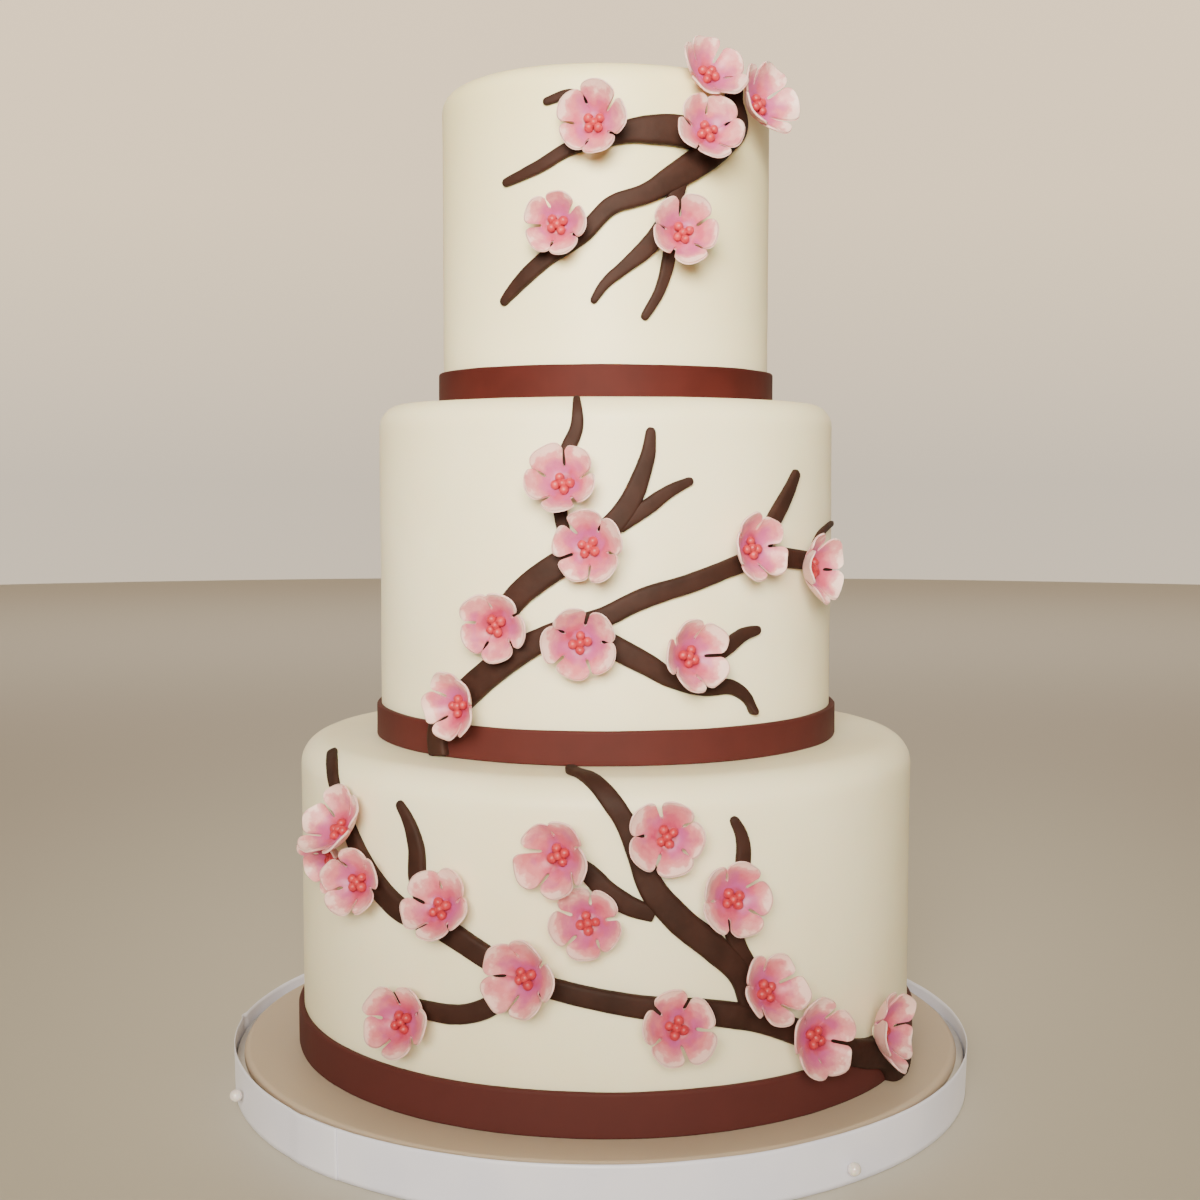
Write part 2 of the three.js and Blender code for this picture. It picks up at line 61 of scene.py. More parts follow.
# radius, height, shoulder, band height, foot
TIERS = {
    "bottom": (105.0, 105.0, 9.0, 13.7, 15.0),
    "middle": (77.5, 112.0, 7.5, 10.7, 120.0),
    "top": (55.5, 104.5, 6.5, 10.7, 232.0),
}

# Branch centre lines: azimuth from the front in degrees, rise above the tier's
# foot along its skin, width. A later one butts against the earlier ones.
BRANCHES = {
    "top": {
        "main": [
            (48, 100, 5), (46, 94, 8), (48.3, 88.5, 8.6), (41, 81.5, 9.3), (32, 75.2, 9.4),
            (23.5, 69.8, 8.4), (12.5, 63.3, 6.4), (2, 59.7, 5.8), (-8.2, 50.2, 5.4), (-19, 44, 5.4),
            (-28, 37.3, 4.8), (-36.3, 30.2, 2.8),
        ],
        "upper": [
            (37, 81, 9.5), (25, 82.9, 9.9), (15, 83, 9.1), (6, 81.9, 7), (-3, 79.3, 5.2),
            (-12, 77, 4.5), (-22, 72, 4.2), (-35.5, 67.7, 2.6),
        ],
        "upper_twig": [(-2, 80.3, 4.6), (-5, 88.5, 4.2), (-10, 93.2, 3.7), (-20.5, 91.6, 2.3)],
        "lower": [
            (24, 68.5, 5.6), (21.3, 59.3, 5.6), (17, 51.5, 5.8), (11.8, 45.8, 5.6), (4.8, 40, 4.2),
            (0, 36, 3.4), (-4.6, 29.6, 2.2),
        ],
        "lower_twig": [(21.2, 55, 4.4), (20.2, 43, 4.2), (17.4, 34, 3.6), (11.8, 24.6, 2.6)],
    },
    "middle": {
        "main": [
            (-41, 0.3, 7.5), (-41.5, 6, 7.5), (-39.5, 12, 8.2), (-34.6, 19.2, 9.2), (-28, 26.7, 9),
            (-20, 34.3, 8.4), (-11, 40.6, 6.9), (-1, 45.2, 6.4), (8, 51, 6.3), (18, 55, 5.9),
            (29, 59.8, 5.8), (38, 63, 6), (48, 62, 6.4), (58, 60.5, 5.6), (67, 58.7, 3.6),
            (75, 57, 2.4),
        ],
        "upright": [
            (-27, 34, 6.4), (-25.5, 41.8, 6.9), (-20.7, 50.7, 7.9), (-13.3, 58.8, 8.3),
            (-5.5, 65.5, 7.9), (0.8, 72.5, 7.1), (4.9, 79.5, 6.6), (7.7, 88, 5.6), (9.3, 95.3, 4.4),
            (9.9, 102.5, 2.9),
        ],
        "upright_twig": [(2.5, 73, 5.2), (8.7, 78.3, 5), (14.2, 83.4, 4), (19.6, 86.8, 2.6)],
        "shoulder_twig": [
            (-7, 63, 4), (-9.6, 72, 4), (-10.3, 84, 4.7), (-8.7, 95, 4.9), (-6.5, 103, 3.8),
            (-7, 113, 2.4),
        ],
        "lower": [
            (-5, 41.6, 6.2), (3, 35.4, 7.2), (9, 31, 6.8), (15, 26.1, 5.5), (22, 23.2, 4.9),
            (30, 22.7, 4.7), (34.7, 17.9, 3.3), (36, 13.8, 2.2),
        ],
        "lower_twig": [
            (16, 25.8, 4.4), (22, 30.6, 4.8), (28, 35.2, 5.2), (33, 39.1, 4.1), (38, 40.3, 2.8),
        ],
        "side": [(37.5, 62, 5.6), (41.3, 73, 5.8), (45.2, 79.5, 5.4), (50.9, 89.7, 3.2)],
        "side_twig": [(57, 61.5, 2.8), (62, 68, 2.5), (69, 71, 2.2), (77.5, 72.3, 2)],
    },
    "bottom": {
        "main": [
            (61.5, 0.3, 15.5), (59.4, 5, 13.5), (55.5, 10, 11), (49, 13, 9), (42, 17.5, 8),
            (34, 25, 7.9), (26, 31.7, 7.8), (17, 36, 7.8), (6, 38.9, 7), (-5, 42.8, 6.4),
            (-14.3, 47.3, 6.6), (-21.1, 53.7, 7.1), (-28.3, 59.9, 7.4), (-36.5, 63.2, 7.6),
            (-41.7, 69.4, 7.7), (-46.5, 78.6, 6.4), (-51, 89.6, 5.2), (-55, 99.4, 4.6),
            (-62, 106.6, 3.2),
        ],
        "left_upper": [
            (-29, 60, 6), (-32.2, 73, 6.2), (-32.5, 83, 5.4), (-34.1, 90.2, 4), (-36.3, 95.6, 2.7),
        ],
        "left_lower": [
            (-14.5, 47, 5.6), (-18, 38.8, 6), (-23, 34.4, 5.9), (-30, 33.5, 5.8),
            (-39.2, 34.8, 3.8),
        ],
        "upright": [
            (24, 31, 5.4), (21.8, 46.2, 7), (17.3, 55.2, 8.5), (11.3, 64.7, 8.4), (6.9, 74.6, 7.8),
            (5, 84.2, 7), (2.5, 94.5, 6), (-0.5, 102, 5.6), (-3.6, 108.5, 4.9), (-6.3, 115.5, 4.7),
            (-7.4, 121.5, 4.2),
        ],
        "upright_right": [
            (25, 45.5, 4), (21.4, 55, 5.4), (20.3, 62, 5.2), (20.8, 70, 4.9), (22.2, 80, 4.7),
            (22, 87.5, 4), (20.4, 93.6, 2.7),
        ],
        "upright_left": [
            (7.5, 66, 4.5), (3.5, 69, 6), (0, 73.2, 6.2), (-2.5, 78, 5.6), (-5, 81.5, 4.6),
            (-7.7, 83.5, 3.2),
        ],
    },
}

# Blossoms in the order of their nodes: azimuth of the face, its tilt upwards,
# angle of the first slit, width.
BLOSSOMS = {
    "top": [
        (-13.7, 4, 38, 22), (-10.6, -3, 40, 20), (8.9, 8, 27, 21.5), (15.5, 16, 20, 21.8),
        (24, 24, 60, 22), (44.5, 18, 30, 24),
    ],
    "middle": [
        (-9.1, 20, 15, 21.5), (-11.7, 2, 59, 22), (-16, -6, 28, 22), (-38.8, 1, 5, 21),
        (-0.5, 0, 3, 22.5), (31.7, 7, 70, 22), (37, 6, 3, 22), (57, 2, 67, 22.8),
    ],
    "bottom": [
        (-47.6, 38, 0, 22.7), (-44.6, -18, 20, 20), (-29, 10, 60, 21), (-22.6, 30, 23, 21.5),
        (-26.3, 8, 37, 22.5), (-21.7, 18, 30, 21.5), (-23.3, -2, 27, 22.5), (-6.9, 12, 12, 21),
        (-0.8, 6, 33, 22), (16.5, 11, 36, 22), (33.3, 22, 18, 21.5), (29.4, 9, 55, 23.5),
        (59, 10, 0, 24.5), (6.5, 15, 67, 22),
    ],
}
PETALS = 5
# Share of the width that the petals rise.
CUP_SHARE = 0.29


def vary(seed, index):
    """A repeatable number from -1 to 1 for each pair of whole numbers."""
    wave = math.sin(seed * 12.9898 + index * 78.233) * 43758.5453
    return 2 * (wave - math.floor(wave)) - 1


def ripple(points, size, seed):
    """Smooth noise from about -1 to 1 at each point, with waves of that size."""
    shift = Vector((seed * 7.13, seed * 3.71, seed * 5.37))
    return np.array([noise.noise(Vector(point) / size + shift) for point in points])


def smoothstep(value, low, high):
    share = np.clip((value - low) / (high - low), 0, 1)
    return share * share * (3 - 2 * share)


# Materials

def srgb(red, green, blue):
    """A linear colour from 0 to 255 screen values."""
    values = np.array([red, green, blue]) / 255
    linear = np.where(values <= 0.04045, values / 12.92, ((values + 0.055) / 1.055) ** 2.4)
    return (*linear.tolist(), 1.0)


class Shader:
    """A material and short ways to put nodes in it."""

    def __init__(self, name, **inputs):
        self.material = bpy.data.materials.new(name)
        self.material.use_nodes = True
        self.nodes = self.material.node_tree.nodes
        self.links = self.material.node_tree.links
        self.surface = self.nodes["Principled BSDF"]
        for socket, value in inputs.items():
            self.surface.inputs[socket.replace("_", " ")].default_value = value
        self.place = self.nodes.new("ShaderNodeTexCoord").outputs["Object"]

    def put(self, socket, value):
        if isinstance(value, bpy.types.NodeSocket):
            self.links.new(value, socket)
        else:
            socket.default_value = value

    def noise(self, size, detail=2.0, roughness=0.5, stretch=(1, 1, 1)):
        """Noise whose features are about that many millimetres."""
        mapping = self.nodes.new("ShaderNodeMapping")
        mapping.inputs["Scale"].default_value = [part / (size * MM) for part in stretch]
        self.links.new(self.place, mapping.inputs["Vector"])
        node = self.nodes.new("ShaderNodeTexNoise")
        node.inputs["Scale"].default_value = 1.0
        node.inputs["Detail"].default_value = detail
        node.inputs["Roughness"].default_value = roughness
        self.links.new(mapping.outputs["Vector"], node.inputs["Vector"])
        return node.outputs["Fac"]

    def height(self, low, high):
        """0 below one height in millimetres and 1 above another."""
        split = self.nodes.new("ShaderNodeSeparateXYZ")
        self.links.new(self.place, split.inputs["Vector"])
        node = self.nodes.new("ShaderNodeMapRange")
        node.inputs["From Min"].default_value = low * MM
        node.inputs["From Max"].default_value = high * MM
        self.links.new(split.outputs["Z"], node.inputs["Value"])
        return node.outputs["Result"]

    def ramp(self, value, *stops):
        node = self.nodes.new("ShaderNodeValToRGB")
        node.color_ramp.interpolation = "EASE"
        elements = node.color_ramp.elements
        while len(elements) < len(stops):
            elements.new(0.5)
        for element, (position, colour) in zip(elements, stops):
            element.position = position
            element.color = colour if hasattr(colour, "__len__") else (colour, colour, colour, 1)
        self.put(node.inputs["Fac"], value)
        return node.outputs["Color"]

    def mix(self, share, first, second, blend="MIX"):
        node = self.nodes.new("ShaderNodeMix")
        node.data_type = "RGBA"
        node.blend_type = blend
        self.put(node.inputs["Factor"], share)
        self.put(node.inputs["A"], first)
        self.put(node.inputs["B"], second)
        return node.outputs["Result"]

    def math(self, operation, first, second=0.0):
        node = self.nodes.new("ShaderNodeMath")
        node.operation = operation
        self.put(node.inputs[0], first)
        self.put(node.inputs[1], second)
        return node.outputs["Value"]

    def bump(self, height, depth, strength=1.0, under=None):
        """Bump whose full height is that many millimetres."""
        node = self.nodes.new("ShaderNodeBump")
        node.inputs["Strength"].default_value = strength
        node.inputs["Distance"].default_value = depth * MM
        self.links.new(height, node.inputs["Height"])
        if under is not None:
            self.links.new(under, node.inputs["Normal"])
        return node.outputs["Normal"]


def fondant_material():
    """Ivory sugar paste: matte, smooth, faintly clouded."""
    s = Shader("ivory_fondant", Roughness=0.5, Specular_IOR_Level=0.5, Subsurface_Weight=0.35,
               Subsurface_Scale=0.004)
    s.surface.inputs["Subsurface Radius"].default_value = (1.0, 0.75, 0.5)
    clouds = s.noise(45, 3)
    colour = s.ramp(clouds, (0.3, srgb(240, 229, 194)), (0.7, srgb(245, 235, 203)))
    specks = s.math("SUBTRACT", 1.0, s.ramp(s.noise(1.1, 2, 0.6), (0.24, 0.0), (0.36, 1.0)))
    colour = s.mix(s.math("MULTIPLY", specks, 0.12), colour, srgb(214, 196, 160))
    # Painted light: the top tier is mixed towards a yellower ivory, a warm light painted into the
    # paste's colour.
    colour = s.mix(s.math("MULTIPLY", s.height(200, 330), 0.8), colour, srgb(244, 229, 176))
    # Painted shade: below the bottom tier's foot, so over all of the board's icing, the paste is tan,
    # the shade of its grazing light painted into the colour.
    colour = s.mix(s.height(15.4, 17), srgb(195, 175, 154), colour)
    s.put(s.surface.inputs["Base Color"], colour)
    dents = s.bump(s.noise(9, 2), 0.12, 0.5)
    grain = s.bump(s.noise(0.5, 3, 0.6), 0.02, 0.5, dents)
    s.put(s.surface.inputs["Normal"], grain)
    return s.material


def band_material():
    """Reddish-brown chocolate paste, rolled and cut to a strip."""
    s = Shader("brick_brown_band", Roughness=0.68, Specular_IOR_Level=0.16, Subsurface_Weight=0.06,
               Subsurface_Scale=0.002)
    clouds = s.noise(14, 3)
    colour = s.ramp(clouds, (0.3, srgb(64, 20, 16)), (0.7, srgb(72, 24, 20)))
    streaks = s.noise(6, 2, 0.5, (0.25, 0.25, 4))
    colour = s.mix(s.math("MULTIPLY", streaks, 0.18), colour, srgb(58, 21, 17))
    # Painted light: the lower bands are mixed lighter and greyer, making up for the light falling off
    # towards the bottom.
    colour = s.mix(s.math("MULTIPLY", s.height(250, 20), 0.6), colour, srgb(88, 48, 46))
    s.put(s.surface.inputs["Base Color"], colour)
    soft = s.bump(s.noise(5, 2), 0.15, 0.45)
    s.put(s.surface.inputs["Normal"], s.bump(s.noise(0.7, 3, 0.6), 0.04, 0.5, soft))
    return s.material


def branch_material():
    """Chocolate-brown paste, rolled by hand."""
    s = Shader("chocolate_branch", Roughness=0.66, Specular_IOR_Level=0.18, Subsurface_Weight=0.04,
               Subsurface_Scale=0.0015)
    colour = s.ramp(s.noise(8, 3), (0.3, srgb(45, 25, 19)), (0.7, srgb(54, 31, 25)))
    dust = s.ramp(s.noise(2.2, 4, 0.65), (0.55, 0.0), (0.8, 1.0))
    colour = s.mix(s.math("MULTIPLY", dust, 0.2), colour, srgb(70, 44, 37))
    # Painted light: the branches are mixed lighter and greyer low on the bottom tier, making up for the
    # light falling off there.
    colour = s.mix(s.math("MULTIPLY", s.height(46, 20), 0.4), colour, srgb(52, 33, 29))
    s.put(s.surface.inputs["Base Color"], colour)
    soft = s.bump(s.noise(3, 2), 0.2, 0.45)
    s.put(s.surface.inputs["Normal"], s.bump(s.noise(0.5, 3, 0.6), 0.04, 0.5, soft))
    return s.material


def petal_material():
    """Flower paste: pale at the rim, brushed deeper pink and lavender inside."""
    s = Shader("pink_flower_paste", Roughness=0.42, Specular_IOR_Level=0.4, Subsurface_Weight=0.45,
               Subsurface_Scale=0.0022, Sheen_Weight=0.1)
    s.surface.inputs["Subsurface Radius"].default_value = (1.0, 0.55, 0.5)
    attribute = s.nodes.new("ShaderNodeAttribute")
    attribute.attribute_name = "bloom"
    split = s.nodes.new("ShaderNodeSeparateXYZ")
    s.links.new(attribute.outputs["Vector"], split.inputs["Vector"])
    out, back = split.outputs["X"], split.outputs["Z"]
    wobble = s.math("MULTIPLY", s.math("SUBTRACT", s.noise(5, 3, 0.55), 0.5), 0.8)
    reach = s.math("ADD", out, wobble)
    inner = s.ramp(
        reach, (0.08, srgb(146, 32, 58)), (0.3, srgb(170, 46, 82)), (0.5, srgb(192, 78, 106)),
        (0.72, srgb(209, 117, 127)), (0.88, srgb(220, 147, 149)), (0.98, srgb(242, 199, 191)),
    )
    lilac_patch = s.ramp(s.noise(7, 2), (0.43, 0.0), (0.57, 1.0))
    lilac_place = s.ramp(reach, (0.1, 0.2), (0.35, 1.0), (0.6, 0.7), (0.9, 0.0))
    lilac = s.math("MULTIPLY", lilac_patch, lilac_place)
    inner = s.mix(s.math("MULTIPLY", lilac, 0.7), inner, srgb(174, 80, 144))
    outer = s.ramp(reach, (0.2, srgb(205, 128, 142)), (0.9, srgb(224, 170, 168)))
    s.put(s.surface.inputs["Base Color"], s.mix(back, inner, outer))
    veins = s.bump(s.noise(1.6, 3, 0.6), 0.05, 0.4)
    s.put(s.surface.inputs["Normal"], veins)
    return s.material


def stamen_material():
    """Coral balls with a pearly lustre."""
    s = Shader("coral_centre", Roughness=0.4, Specular_IOR_Level=0.4, Subsurface_Weight=0.12,
               Subsurface_Scale=0.0008, Coat_Weight=0.06, Coat_Roughness=0.35)
    colour = s.ramp(s.noise(1.5, 2), (0.35, srgb(168, 42, 55)), (0.65, srgb(185, 57, 65)))
    s.put(s.surface.inputs["Base Color"], colour)
    s.put(s.surface.inputs["Normal"], s.bump(s.noise(0.5, 2), 0.04, 0.5))
    return s.material


def ribbon_material():
    """White satin: fine threads along the ribbon."""
    s = Shader("white_satin", Roughness=0.36, Specular_IOR_Level=0.5, Sheen_Weight=0.15,
               Sheen_Roughness=0.4, Anisotropic=0.4)
    colour = s.ramp(s.noise(30, 2), (0.35, srgb(233, 232, 251)), (0.65, srgb(240, 238, 254)))
    s.put(s.surface.inputs["Base Color"], colour)
    threads = s.noise(0.4, 1, 0.5, (0.06, 0.06, 2.2))
    soft = s.bump(s.noise(12, 1), 0.25, 0.5)
    s.put(s.surface.inputs["Normal"], s.bump(threads, 0.03, 0.7, soft))
    return s.material


def pearl_material():
    s = Shader("pearl_head", Roughness=0.22, Specular_IOR_Level=0.6, Coat_Weight=0.6,
               Coat_Roughness=0.1, Subsurface_Weight=0.2, Subsurface_Scale=0.001)
    colour = s.ramp(s.noise(2.5, 2), (0.35, srgb(236, 226, 220)), (0.65, srgb(244, 238, 236)))
    s.put(s.surface.inputs["Base Color"], colour)
    return s.material


def foil_material():
    """Foil-laminated paper, dimpled by its embossing rollers."""
    s = Shader("board_foil", Roughness=0.32, Metallic=0.75, Specular_IOR_Level=0.5)
    colour = s.ramp(s.noise(20, 2), (0.3, srgb(196, 196, 198)), (0.7, srgb(212, 212, 214)))
    s.put(s.surface.inputs["Base Color"], colour)
    s.put(s.surface.inputs["Normal"], s.bump(s.noise(1.4, 1), 0.1, 0.6))
    return s.material


def paper_material():
    s = Shader("board_paper", Roughness=0.8, Specular_IOR_Level=0.25)
    fibres = s.noise(1.2, 4, 0.7)
    colour = s.ramp(fibres, (0.35, srgb(214, 210, 200)), (0.65, srgb(226, 223, 214)))
    s.put(s.surface.inputs["Base Color"], colour)
    s.put(s.surface.inputs["Normal"], s.bump(fibres, 0.03, 0.5))
    return s.material


def plain_material(name, colour, roughness):
    s = Shader(name, Roughness=roughness, Specular_IOR_Level=0.3)
    s.surface.inputs["Base Color"].default_value = colour
    return s.material


FONDANT = fondant_material()
BAND = band_material()
BRANCH = branch_material()
PETAL = petal_material()
STAMEN = stamen_material()
RIBBON = ribbon_material()
PEARL = pearl_material()
FOIL = foil_material()
PAPER = paper_material()


# Meshes

def shade_smooth(mesh):
    mesh.polygons.foreach_set("use_smooth", [True] * len(mesh.polygons))


def linked(name, data):
    """A new object in the scene."""
    obj = bpy.data.objects.new(name, data)
    bpy.context.collection.objects.link(obj)
    return obj


def mesh_object(name, points, faces, *materials):
    mesh = bpy.data.meshes.new(name)
    mesh.from_pydata((np.asarray(points) * MM).tolist(), [], faces)
    mesh.validate()
    for material in materials:
        mesh.materials.append(material)
    shade_smooth(mesh)
    return linked(name, mesh)


def ring_faces(rings, sides, flipped=False):
    """Quads between closed rings of points, each ring with that many sides."""
    faces = []
    for ring in range(rings - 1):
        for side in range(sides):
            after = (side + 1) % sides
            low, high = ring * sides, (ring + 1) * sides
            quad = (low + side, low + after, high + after, high + side)
            faces.append((quad[0], *quad[:0:-1]) if flipped else quad)
    return faces


def dress(obj, slot, *nodes):
    """Puts a finished piece in the place of its CAD nodes."""
    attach(obj, "root")
    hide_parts(*nodes)
    return obj


def modified(obj):
    """Applies an object's modifiers to its mesh."""
    bpy.context.view_layer.update()
    shown = obj.evaluated_get(bpy.context.evaluated_depsgraph_get())
    mesh = bpy.data.meshes.new_from_object(shown)
    obj.modifiers.clear()
    old = obj.data
    obj.data = mesh
    bpy.data.meshes.remove(old)
    return obj


def soften(obj, **waves):
    """Moves a mesh's points along their normals by smooth hand-made unevenness."""
    mesh = obj.data
    count = len(mesh.vertices)
    places, normals = np.empty(count * 3), np.empty(count * 3)
    mesh.vertices.foreach_get("co", places)
    mesh.vertex_normals.foreach_get("vector", normals)
    places, normals = places.reshape(-1, 3) / MM, normals.reshape(-1, 3)
    for seed, (size, depth) in enumerate(waves.values()):
        places += normals * (ripple(places, size, seed + 1) * depth)[:, None]
    mesh.vertices.foreach_set("co", (places * MM).ravel())
    mesh.update()
    return obj


def lathe(name, profile, segments, *materials, axis_x=0.0):
    """Turns a profile of (radius, height) that starts and ends on the axis."""
    turns = np.linspace(0, 2 * math.pi, segments, endpoint=False)
    rings = np.array(profile[1:-1])
    points = np.stack([
        rings[:, :1] * np.sin(turns), -rings[:, :1] * np.cos(turns),
        np.repeat(rings[:, 1:], segments, axis=1),
    ], -1).reshape(-1, 3)
    points = np.vstack([points, (0, 0, profile[0][1]), (0, 0, profile[-1][1])]) + (axis_x, 0, 0)
    faces = ring_faces(len(rings), segments)
    last = (len(rings) - 1) * segments
    for turn in range(segments):
        after = (turn + 1) % segments
        faces.append((after, turn, len(points) - 2))
        faces.append((last + turn, last + after, len(points) - 1))
    return mesh_object(name, points, faces, *materials)


def spread(start, end, count):
    """Points evenly along a straight line of a profile, without its end."""
    return [tuple(np.array(start) + (np.array(end) - start) * step / count) for step in range(count)]


def rounded(radius, height, bend, count=10):
    """The quarter round from a wall to a top."""
    turns = [step / count * math.pi / 2 for step in range(count)]
    wall, level = radius - bend, height - bend
    return [(wall + bend * math.cos(turn), level + bend * math.sin(turn)) for turn in turns]


def disc_profile(radius, foot, top, bend, wall_rows, top_rows):
    """Underside, wall, rounded edge and top of a disc."""
    profile = [(0, foot), *spread((1.0, foot), (radius, foot), 12)]
    profile += spread((radius, foot), (radius, top - bend), wall_rows)
    profile += rounded(radius, top, bend)
    profile += spread((radius - bend, top), (1.0, top), top_rows)
    return [*profile, (1.0, top), (0, top)]


# Tiers, board and bands

def add_tier(name):
    radius, height, shoulder, _, foot = TIERS[name]
    profile = disc_profile(radius, foot, foot + height, shoulder, 44, 26)
    obj = lathe(f"fondant_tier_{name}", profile, 256, FONDANT, axis_x=CAKE_SHIFT)
    soften(obj, wide=(38, 0.28), close=(11, 0.05))
    dress(obj, "fondant", f"tier_{name}")


# From the band's foot up: share of its thickness, tenths of its height.
BAND_SECTION = [
    (-0.1, 0), (0.5, 0.02), (0.92, 0.1), (1, 0.5), (1, 2), (1, 4), (1, 6), (1, 8), (1, 9.2),
    (0.99, 9.6), (0.86, 9.9), (0.6, 10), (0.2, 9.97), (-0.1, 9.9),
]
BAND_COLUMNS = 480
BAND_HALF_SEAM = 0.15


def add_band(name):
    """A cut strip wrapped round the tier's foot, its ends meeting at the back."""
    radius, _, _, height, foot = TIERS[name]
    seam = math.degrees(BAND_HALF_SEAM / radius)
    azimuths = np.radians(np.linspace(180 + seam, 540 - seam, BAND_COLUMNS))
    section = np.array(BAND_SECTION) * (BAND_OUT, height / 10)
    rings = []
    for azimuth in azimuths:
        wave = Vector((math.sin(azimuth) * 3, math.cos(azimuth) * 3, radius))
        tall = 1 + 0.022 * noise.noise(wave)
        thick = 1 + 0.09 * noise.noise(wave * 1.7)
        reach = radius + section[:, 0] * thick
        right = CAKE_SHIFT + reach * math.sin(azimuth)
        level = foot + section[:, 1] * tall
        rings.append(np.stack([right, -reach * math.cos(azimuth), level], -1))
    sides = len(section)
    faces = ring_faces(BAND_COLUMNS, sides, flipped=True)
    faces.append(tuple(range(sides)))
    faces.append(tuple(reversed(range((BAND_COLUMNS - 1) * sides, BAND_COLUMNS * sides))))
    obj = mesh_object(f"fondant_band_{name}", np.vstack(rings), faces, BAND)
    soften(obj, wide=(9, 0.07))
    dress(obj, "band", f"band_{name}")


# The board's underside is papered up to here, inside the foil's turned-in edge.
PAPER_RADIUS = 112
BOARD_ICING_BEND = 2.4


def add_board():
    radius, top = BOARD_RADIUS, BOARD_THICKNESS
    profile = [(0, 0), *spread((1.0, 0.0), (PAPER_RADIUS, 0.0), 12), (PAPER_RADIUS, 0.0)]
    profile += [(PAPER_RADIUS + 0.3, 0.15), *spread((PAPER_RADIUS + 1, 0.15), (radius - 0.6, 0.15), 6)]
    profile += [(radius - 0.6, 0.15), (radius - 0.15, 0.4), (radius, 0.9)]
    profile += [*spread((radius, 1.5), (radius, top - 0.6), 6), (radius, top - 0.6)]
    profile += [(radius - 0.2, top - 0.2), (radius - 0.6, top), (60, top), (1.0, top), (0, top)]
    board = lathe("drum_board", profile, 192, FOIL, PAPER)
    for polygon in board.data.polygons:
        centre = polygon.center / MM
        if centre.z < 0.1 and math.hypot(centre.x, centre.y) < PAPER_RADIUS + 0.2:
            polygon.material_index = 1
    dress(board, "board", "cake_board")
    profile = disc_profile(BOARD_ICING_RADIUS, top, BOARD_TOP, BOARD_ICING_BEND, 3, 30)
    icing = lathe("board_fondant", profile, 256, FONDANT)
    soften(icing, wide=(30, 0.16), close=(9, 0.05))
    dress(icing, "fondant", "board_icing")


# Ribbon and its pins

RIBBON_HEIGHT = 15.9
RIBBON_THICKNESS = 0.28
RIBBON_FOOT = 0.2
RIBBON_COLUMNS = 720
RIBBON_ROWS = 12
# Degrees from the front: where the ribbon starts, how far its ends lap, and a
# small fold in it.
RIBBON_SEAM = -44.7
RIBBON_LAP = 7.0
RIBBON_FOLD = -92
# How far the ribbon stands off between the pins.
RIBBON_SLACK = 0.75
PIN_AZIMUTHS = [-66, 35.2, 158]
PIN_RADIUS = 2.0
PIN_SUNK = 0.35


def add_ribbon():
    """Satin round the board's edge, its ends lapped, pulled in at the pins."""
    columns, rows = RIBBON_COLUMNS, RIBBON_ROWS
    azimuths = np.linspace(RIBBON_SEAM, RIBBON_SEAM + 360 + RIBBON_LAP, columns)
    share = np.linspace(0, 1, rows)
    layers = []
    for side in (0, 1):
        sheet = np.empty((columns, rows, 3))
        for column, azimuth in enumerate(azimuths):
            near = min(abs((azimuth - pin + 180) % 360 - 180) for pin in PIN_AZIMUTHS)
            slack = RIBBON_SLACK * (1 - math.exp(-((near / 16) ** 2)))
            kink = 0.9 * math.exp(-(((azimuth - RIBBON_FOLD + 180) % 360 - 180) / 1.1) ** 2)
            lapped = smoothstep(azimuth, RIBBON_SEAM + 356, RIBBON_SEAM + 359)
            lapped = lapped * (RIBBON_THICKNESS + 0.12)
            wave = noise.noise(Vector((azimuth / 14, 0.3, 0.7)))
            lean = slack * (0.35 + 0.65 * share) + kink * smoothstep(share, 0.45, 1) + 0.12 * wave
            reach = BOARD_RADIUS + 0.14 + lean + lapped + side * RIBBON_THICKNESS
            edge = 0.12 * noise.noise(Vector((azimuth / 9, 4.2, 1.1)))
            angle = math.radians(azimuth)
            level = RIBBON_FOOT + RIBBON_HEIGHT * share + edge * share
            sheet[column] = np.stack([reach * math.sin(angle), -reach * math.cos(angle), level], -1)
        layers.append(sheet)
    points = np.vstack([layer.reshape(-1, 3) for layer in layers])
    behind = columns * rows
    faces = []
    for column in range(columns - 1):
        for row in range(rows - 1):
            a = column * rows + row
            b = a + rows
            faces.append((a, a + 1, b + 1, b))
            faces.append((a + behind, b + behind, b + 1 + behind, a + 1 + behind))
    for column in range(columns - 1):
        for row in (0, rows - 1):
            a = column * rows + row
            b = a + rows
            faces.append((a, b, b + behind, a + behind) if row == 0 else (b, a, a + behind, b + behind))
    for row in range(rows - 1):
        for column in (0, columns - 1):
            a = column * rows + row
            quad = (a, a + behind, a + 1 + behind, a + 1)
            faces.append(quad if column == 0 else tuple(reversed(quad)))
    obj = mesh_object("satin_ribbon", points, faces, RIBBON)
    dress(obj, "ribbon", "board_ribbon")


def add_pins():
    for side in ("left", "right", "back"):
        low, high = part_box(f"pearl_pin_{side}")
        centre = (low + high) / 2
        mesh = bpy.data.meshes.new(f"pearl_{side}")
        shape = bmesh.new()
        bmesh.ops.create_icosphere(shape, subdivisions=4, radius=PIN_RADIUS * MM)
        for vertex in shape.verts:
            vertex.co *= 1 + 0.015 * noise.noise(vertex.co / (1.5 * MM))
        inward = Vector((-centre.x, -centre.y, 0)).normalized() * PIN_SUNK * MM
        bmesh.ops.translate(shape, verts=shape.verts, vec=centre + inward)
        shape.to_mesh(mesh)
        shape.free()
        shade_smooth(mesh)
        mesh.materials.append(PEARL)
        dress(linked(f"pearl_{side}", mesh), "pearl", f"pearl_pin_{side}")


# Branches

